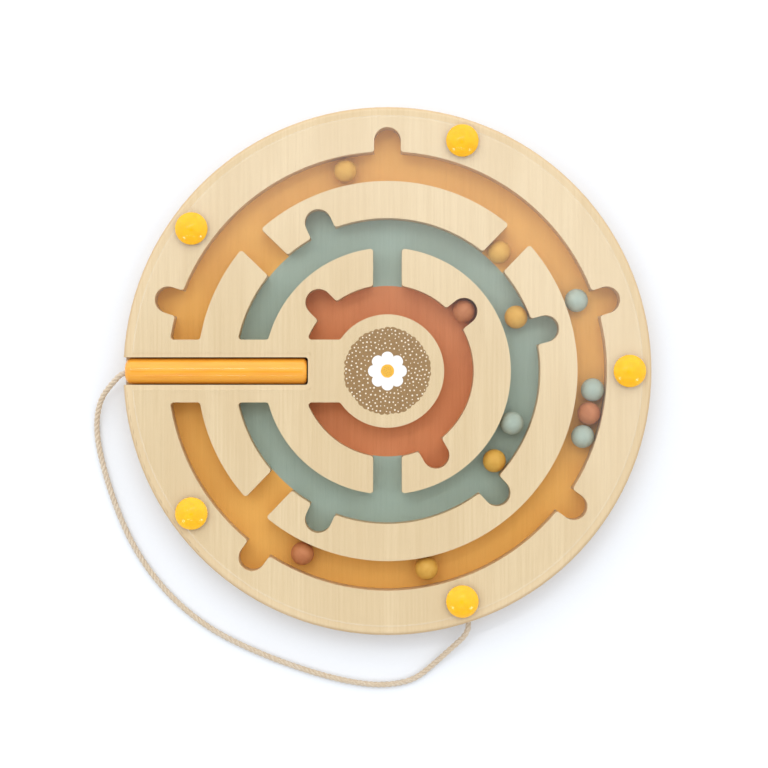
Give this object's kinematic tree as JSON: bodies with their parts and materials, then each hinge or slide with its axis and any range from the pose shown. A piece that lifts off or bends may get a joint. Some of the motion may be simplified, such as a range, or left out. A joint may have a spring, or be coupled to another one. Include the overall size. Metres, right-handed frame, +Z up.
{
  "type": "magnetic ball maze",
  "caption": "Round plywood board with ring lanes under a clear cover, coloured balls in the lanes, and a cord-tied magnetic pen stored in a slot.",
  "frame": {"origin": "centre of the board's underside", "axes": "+Z up out of the covered face, -X along the pen slot towards the rim"},
  "size_m": [0.2776, 0.2891, 0.0249],
  "materials": {
    "back_ply": "sanded plywood, clear matt lacquer",
    "maze_ply": "sanded light plywood, clear matt lacquer",
    "orange_print": "orange ink printed on plywood",
    "green_print": "grey-green ink printed on plywood",
    "red_print": "brick-red ink printed on plywood",
    "clear_acrylic": "clear, polished",
    "yellow_plastic": "gloss",
    "screw_steel": "zinc plated",
    "pen_lacquer": "gloss orange lacquer over turned wood",
    "magnet": "nickel plated",
    "cotton_cord": "twisted cotton",
    "orange_ball": "matt",
    "green_ball": "matt",
    "red_ball": "matt",
    "core_steel": "ground"
  },
  "bodies": {
    "board": {"base_board": "back_ply", "maze_frame": "maze_ply", "island_inner": "maze_ply", "island_top": "maze_ply", "island_long": "maze_ply", "floor_orange": "orange_print", "floor_green": "green_print", "floor_red": "red_print", "clear_cover": "clear_acrylic", "dome_caps": "yellow_plastic", "back_screws": "screw_steel", "tether_cord": "cotton_cord"},
    "pen": {"pen_barrel": "pen_lacquer", "pen_magnet": "magnet", "pen_tip_plug": "pen_lacquer"},
    "orange_1_ball": {"ball_orange_1": "orange_ball", "core_orange_1": "core_steel"},
    "orange_2_ball": {"ball_orange_2": "orange_ball", "core_orange_2": "core_steel"},
    "orange_3_ball": {"ball_orange_3": "orange_ball", "core_orange_3": "core_steel"},
    "orange_4_ball": {"ball_orange_4": "orange_ball", "core_orange_4": "core_steel"},
    "orange_5_ball": {"ball_orange_5": "orange_ball", "core_orange_5": "core_steel"},
    "green_1_ball": {"ball_green_1": "green_ball", "core_green_1": "core_steel"},
    "green_2_ball": {"ball_green_2": "green_ball", "core_green_2": "core_steel"},
    "green_3_ball": {"ball_green_3": "green_ball", "core_green_3": "core_steel"},
    "green_4_ball": {"ball_green_4": "green_ball", "core_green_4": "core_steel"},
    "red_1_ball": {"ball_red_1": "red_ball", "core_red_1": "core_steel"},
    "red_2_ball": {"ball_red_2": "red_ball", "core_red_2": "core_steel"},
    "red_3_ball": {"ball_red_3": "red_ball", "core_red_3": "core_steel"}
  },
  "joints": [
    {"name": "pen_lift", "type": "slide", "parent": "board", "child": "pen", "axis": [0, 0, 1], "range_m": [0, 0.04], "deforming": ["tether_cord"]},
    {"name": "orange_1_roll", "type": "hinge", "parent": "board", "child": "orange_1_ball", "pos_m": [0, 0, 0], "axis": [0, 0, 1], "range_deg": [-45, 65]},
    {"name": "orange_2_roll", "type": "slide", "parent": "board", "child": "orange_2_ball", "axis": [0.6947, 0.7193, 0], "range_m": [-0.0129, 0.02]},
    {"name": "orange_3_roll", "type": "hinge", "parent": "board", "child": "orange_3_ball", "pos_m": [0, 0, 0], "axis": [0, 0, 1], "range_deg": [-21, 12]},
    {"name": "orange_4_roll", "type": "hinge", "parent": "board", "child": "orange_4_ball", "pos_m": [0, 0, 0], "axis": [0, 0, 1], "range_deg": [-121, 5]},
    {"name": "orange_5_roll", "type": "hinge", "parent": "board", "child": "orange_5_ball", "pos_m": [0, 0, 0], "axis": [0, 0, 1], "range_deg": [-17, 18]},
    {"name": "green_1_roll", "type": "hinge", "parent": "board", "child": "green_1_ball", "pos_m": [0, 0, 0], "axis": [0, 0, 1], "range_deg": [-8.5, 15]},
    {"name": "green_2_roll", "type": "hinge", "parent": "board", "child": "green_2_ball", "pos_m": [0, 0, 0], "axis": [0, 0, 1], "range_deg": [-34, 9]},
    {"name": "green_3_roll", "type": "hinge", "parent": "board", "child": "green_3_ball", "pos_m": [0, 0, 0], "axis": [0, 0, 1], "range_deg": [-34, 9]},
    {"name": "green_4_roll", "type": "hinge", "parent": "board", "child": "green_4_ball", "pos_m": [0, 0, 0], "axis": [0, 0, 1], "range_deg": [-1, 13.5]},
    {"name": "red_1_roll", "type": "hinge", "parent": "board", "child": "red_1_ball", "pos_m": [0, 0, 0], "axis": [0, 0, 1], "range_deg": [-34, 9]},
    {"name": "red_2_roll", "type": "hinge", "parent": "board", "child": "red_2_ball", "pos_m": [0, 0, 0], "axis": [0, 0, 1], "range_deg": [-52, 11]},
    {"name": "red_3_roll", "type": "slide", "parent": "board", "child": "red_3_ball", "axis": [0.788, 0.6157, 0], "range_m": [-0.0127, 0]}
  ],
  "couplings": [
    {"joint": "red_1_roll", "follows": "green_2_roll", "ratio": 1},
    {"joint": "green_3_roll", "follows": "green_2_roll", "ratio": 1}
  ]
}
